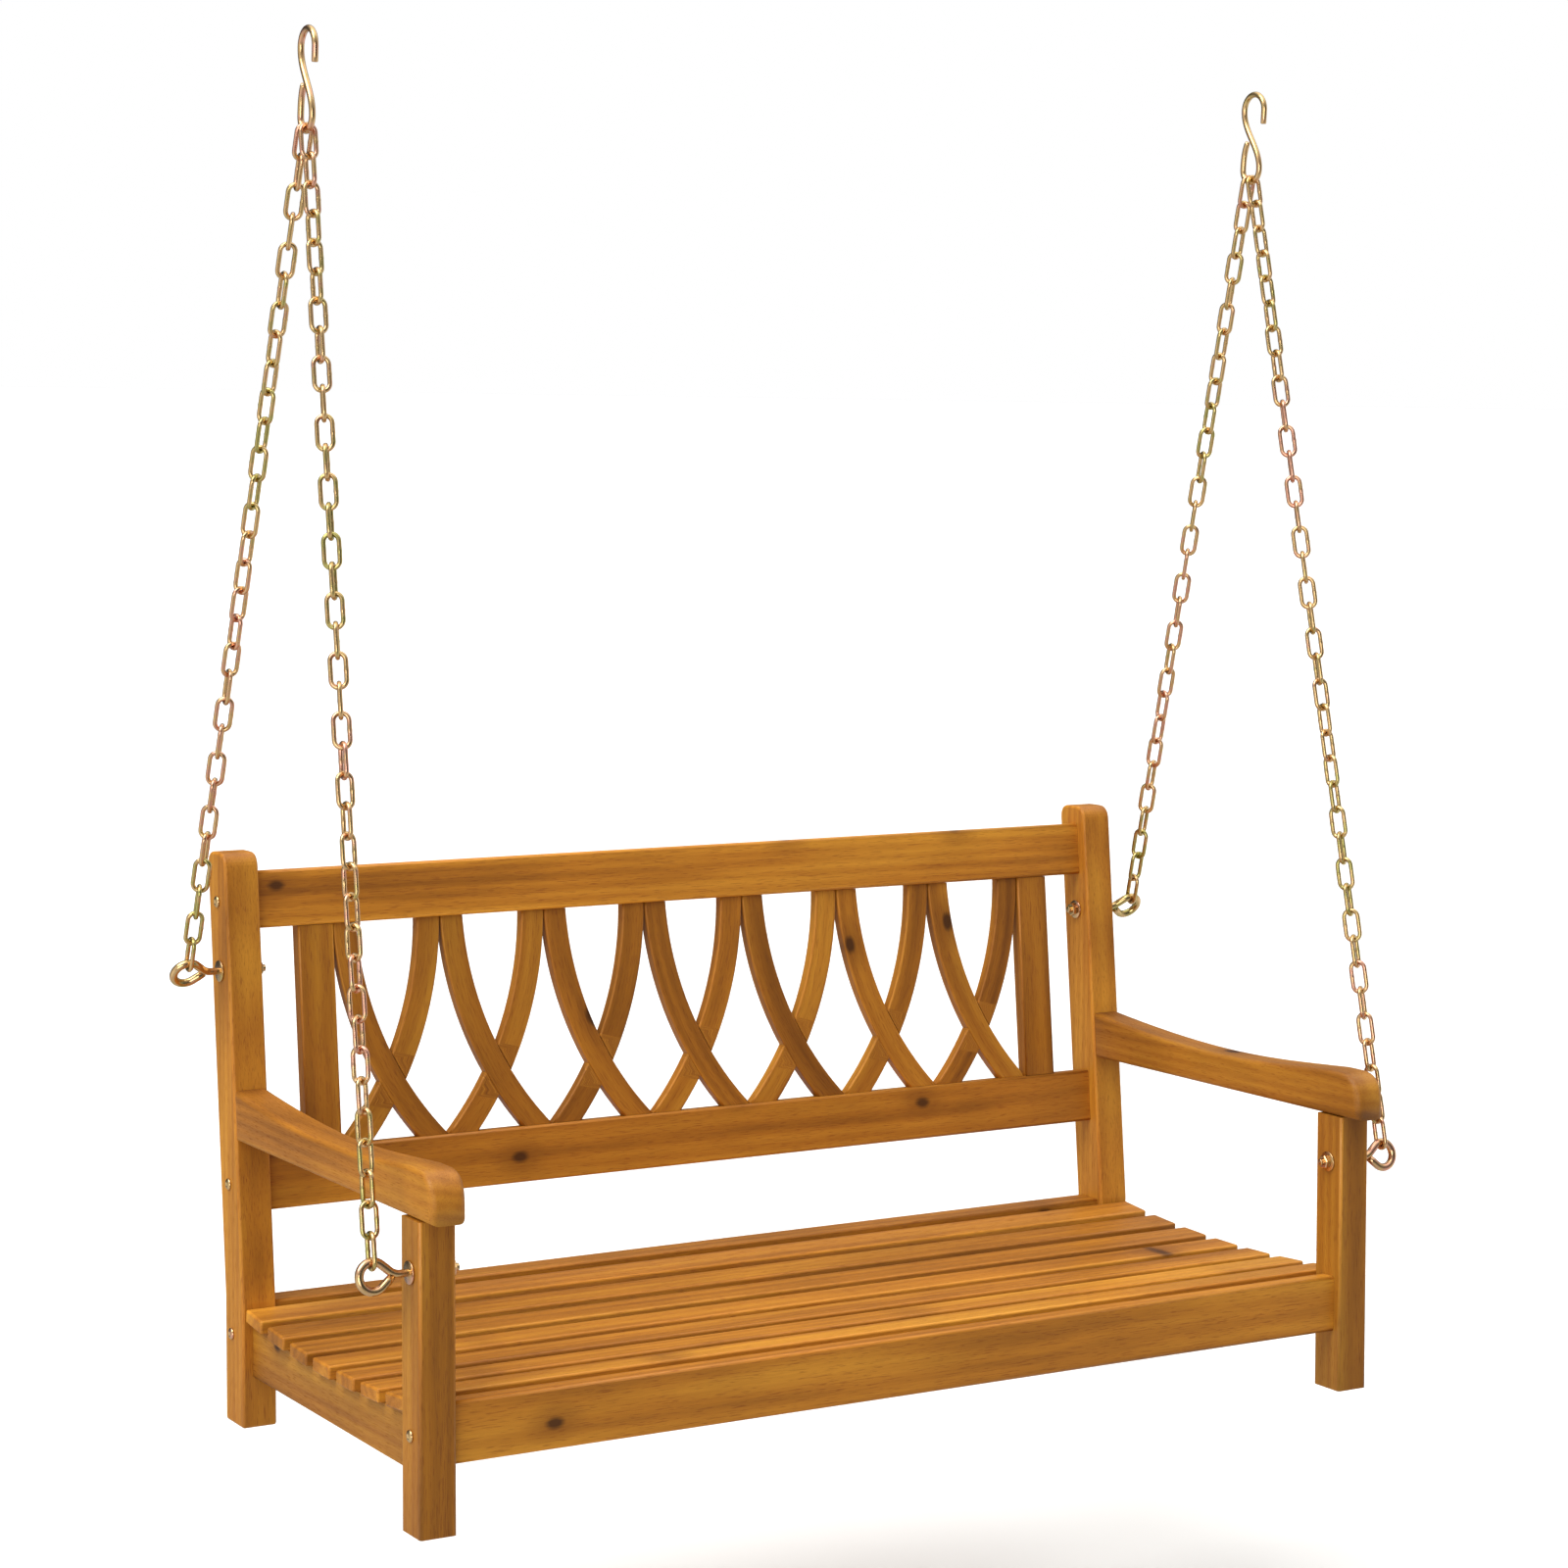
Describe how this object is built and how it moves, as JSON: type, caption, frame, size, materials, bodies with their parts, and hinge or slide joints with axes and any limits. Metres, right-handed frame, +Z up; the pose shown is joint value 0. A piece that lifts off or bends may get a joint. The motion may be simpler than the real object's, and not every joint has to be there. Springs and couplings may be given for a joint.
{
  "type": "porch swing",
  "caption": "Slatted wooden garden bench with dished seat, armrests and an interlaced curved-slat back, hung by steel chains from S-hooks, so that it swings",
  "frame": {"origin": "midway between the two S-hooks, at the height of the inside of their upper bends, where each one bears on whatever it is hung from", "axes": "+X across the bench to the right as seen from the front, -Y to the front where the sitter's knees are, +Z straight up; the bench hangs at its own resting lean, about 4 degrees back"},
  "size_m": [1.3186, 0.621, 1.5362],
  "materials": {
    "frame_wood": "satin",
    "seat_wood": "satin",
    "back_wood": "satin",
    "yellow_zinc_steel": "satin"
  },
  "bodies": {
    "hooks": {"hook_left": "yellow_zinc_steel", "hook_right": "yellow_zinc_steel"},
    "top_links_left": {"top_link_front_left": "yellow_zinc_steel", "top_link_rear_left": "yellow_zinc_steel"},
    "chains_left": {"chain_front_left": "yellow_zinc_steel", "chain_rear_left": "yellow_zinc_steel"},
    "bench": {"front_leg_left": "frame_wood", "front_leg_right": "frame_wood", "back_post_left": "frame_wood", "back_post_right": "frame_wood", "armrest_left": "frame_wood", "armrest_right": "frame_wood", "front_apron": "seat_wood", "rear_seat_rail": "seat_wood", "side_rail_left": "seat_wood", "side_rail_right": "seat_wood", "seat_centre_bearer": "seat_wood", "seat_slat_1": "seat_wood", "seat_slat_2": "seat_wood", "seat_slat_3": "seat_wood", "seat_slat_4": "seat_wood", "seat_slat_5": "seat_wood", "seat_slat_6": "seat_wood", "seat_slat_7": "seat_wood", "rear_seat_slat": "seat_wood", "back_bottom_rail": "frame_wood", "back_top_rail": "frame_wood", "back_slat_left": "back_wood", "back_slat_right": "back_wood", "curved_slat_falling_1": "back_wood", "curved_slat_rising_1": "back_wood", "curved_slat_falling_2": "back_wood", "curved_slat_rising_2": "back_wood", "curved_slat_falling_3": "back_wood", "curved_slat_rising_3": "back_wood", "curved_slat_falling_4": "back_wood", "curved_slat_rising_4": "back_wood", "curved_slat_falling_5": "back_wood", "curved_slat_rising_5": "back_wood", "curved_slat_falling_6": "back_wood", "curved_slat_rising_6": "back_wood", "curved_slat_falling_7": "back_wood", "curved_slat_rising_7": "back_wood", "eye_bolt_front_left": "yellow_zinc_steel", "washer_front_left": "yellow_zinc_steel", "nut_front_left": "yellow_zinc_steel", "eye_bolt_front_right": "yellow_zinc_steel", "washer_front_right": "yellow_zinc_steel", "nut_front_right": "yellow_zinc_steel", "eye_bolt_rear_left": "yellow_zinc_steel", "washer_rear_left": "yellow_zinc_steel", "nut_rear_left": "yellow_zinc_steel", "eye_bolt_rear_right": "yellow_zinc_steel", "washer_rear_right": "yellow_zinc_steel", "nut_rear_right": "yellow_zinc_steel"},
    "top_links_right": {"top_link_front_right": "yellow_zinc_steel", "top_link_rear_right": "yellow_zinc_steel"},
    "chains_right": {"chain_front_right": "yellow_zinc_steel", "chain_rear_right": "yellow_zinc_steel"}
  },
  "joints": [
    {"name": "swing_left", "type": "hinge", "parent": "hooks", "child": "top_links_left", "pos_m": [-0.609, 0, -0.0855], "axis": [1, 0, 0], "range_deg": [-30, 30]},
    {"name": "sway_left", "type": "hinge", "parent": "top_links_left", "child": "chains_left", "pos_m": [-0.60972, -0.00078, -0.12366], "axis": [0, 0.9356, 0.3531], "range_deg": [-8, 8]},
    {"name": "bench_level", "type": "hinge", "parent": "chains_left", "child": "bench", "pos_m": [-0.64, -0.31394, -1.22617], "axis": [0, 0.9356, 0.3531], "range_deg": [-7.62, 7.62]},
    {"name": "swing_right", "type": "hinge", "parent": "hooks", "child": "top_links_right", "pos_m": [0.609, 0, -0.0855], "axis": [1, 0, 0], "range_deg": [-30, 30]},
    {"name": "sway_right", "type": "hinge", "parent": "top_links_right", "child": "chains_right", "pos_m": [0.60972, -0.00078, -0.12366], "axis": [0, 0.9356, 0.3531], "range_deg": [-8, 8]}
  ],
  "couplings": [
    {"joint": "bench_level", "follows": "sway_left", "ratio": -0.9527},
    {"joint": "swing_right", "follows": "swing_left", "ratio": 1},
    {"joint": "sway_right", "follows": "sway_left", "ratio": 1}
  ]
}
